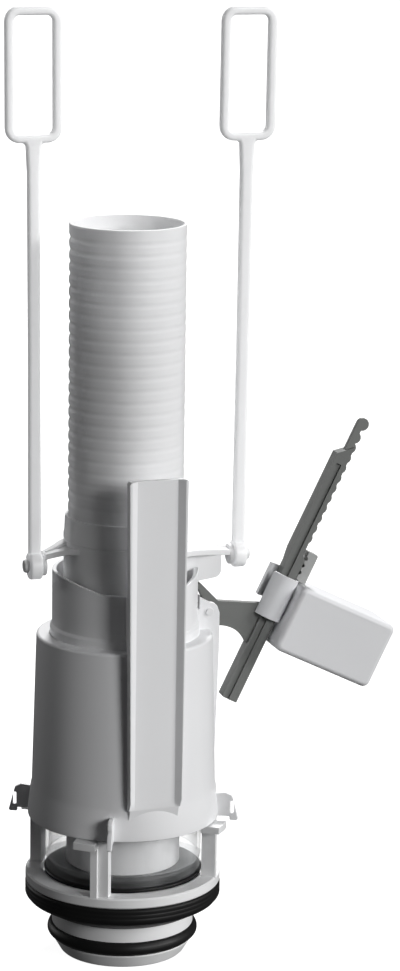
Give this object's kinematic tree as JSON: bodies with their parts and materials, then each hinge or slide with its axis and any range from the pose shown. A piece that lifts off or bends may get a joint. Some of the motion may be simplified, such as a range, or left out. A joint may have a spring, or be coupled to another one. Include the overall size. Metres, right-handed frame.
{
  "type": "toilet flush valve",
  "caption": "Dual-flush cistern valve: ribbed overflow tube that lifts in a stepped housing, with hooked lift rods, a swinging float lever, an air bell and rubber outlet seals.",
  "frame": {"origin": "centre of the spigot's lower end, where the water leaves", "axes": "+Z along the valve's axis and upwards, -Y towards the guide rail, +X towards the float"},
  "size_m": [0.1669, 0.0914, 0.3983],
  "materials": {
    "basket_white": "moulded white, satin",
    "housing_white": "moulded white, satin",
    "pin_white": "moulded white, satin",
    "tube_white": "moulded white, light gloss",
    "yoke_white": "moulded white, satin",
    "clear_plastic": "clear, gloss",
    "black_rubber": "moulded black, matt",
    "seal_rubber": "black, matt",
    "rod_white": "moulded white, satin",
    "lever_grey": "moulded grey, satin",
    "rack_grey": "moulded grey, satin",
    "float_white": "moulded white, satin",
    "clip_white": "moulded white, satin"
  },
  "bodies": {
    "housing": {"outlet_basket": "basket_white", "base_gasket": "black_rubber", "lip_seal": "black_rubber", "valve_housing": "housing_white", "lever_axle": "pin_white"},
    "valve": {"overflow_tube": "tube_white", "lifting_yoke": "yoke_white", "tube_lock": "yoke_white", "air_bell": "clear_plastic", "bell_ring": "black_rubber", "valve_plate": "clear_plastic", "flush_seal": "seal_rubber", "seal_clamp": "basket_white"},
    "left_rod": {"left_lift_rod": "rod_white"},
    "right_rod": {"right_lift_rod": "rod_white"},
    "lever": {"float_lever": "lever_grey", "adjuster_rack": "rack_grey"},
    "float": {"float_shell": "float_white", "float_lid": "float_white", "float_clip": "clip_white", "float_latch": "rack_grey"}
  },
  "joints": [
    {"name": "valve_lift", "type": "slide", "parent": "housing", "child": "valve", "axis": [0, 0, 1], "range_m": [0, 0.022]},
    {"name": "left_rod_swing", "type": "hinge", "parent": "valve", "child": "left_rod", "pos_m": [-0.0389, 0, 0.1697], "axis": [1, 0, 0], "range_deg": [-90, 90]},
    {"name": "right_rod_swing", "type": "hinge", "parent": "valve", "child": "right_rod", "pos_m": [0.0492, 0, 0.1697], "axis": [1, 0, 0], "range_deg": [-90, 90]},
    {"name": "lever_swing", "type": "hinge", "parent": "housing", "child": "lever", "pos_m": [0.0355, 0, 0.1465], "axis": [0, -1, 0], "range_deg": [0, 26]},
    {"name": "float_slide", "type": "slide", "parent": "lever", "child": "float", "axis": [0.4384, 0, 0.8988], "range_m": [0, 0.05]}
  ]
}
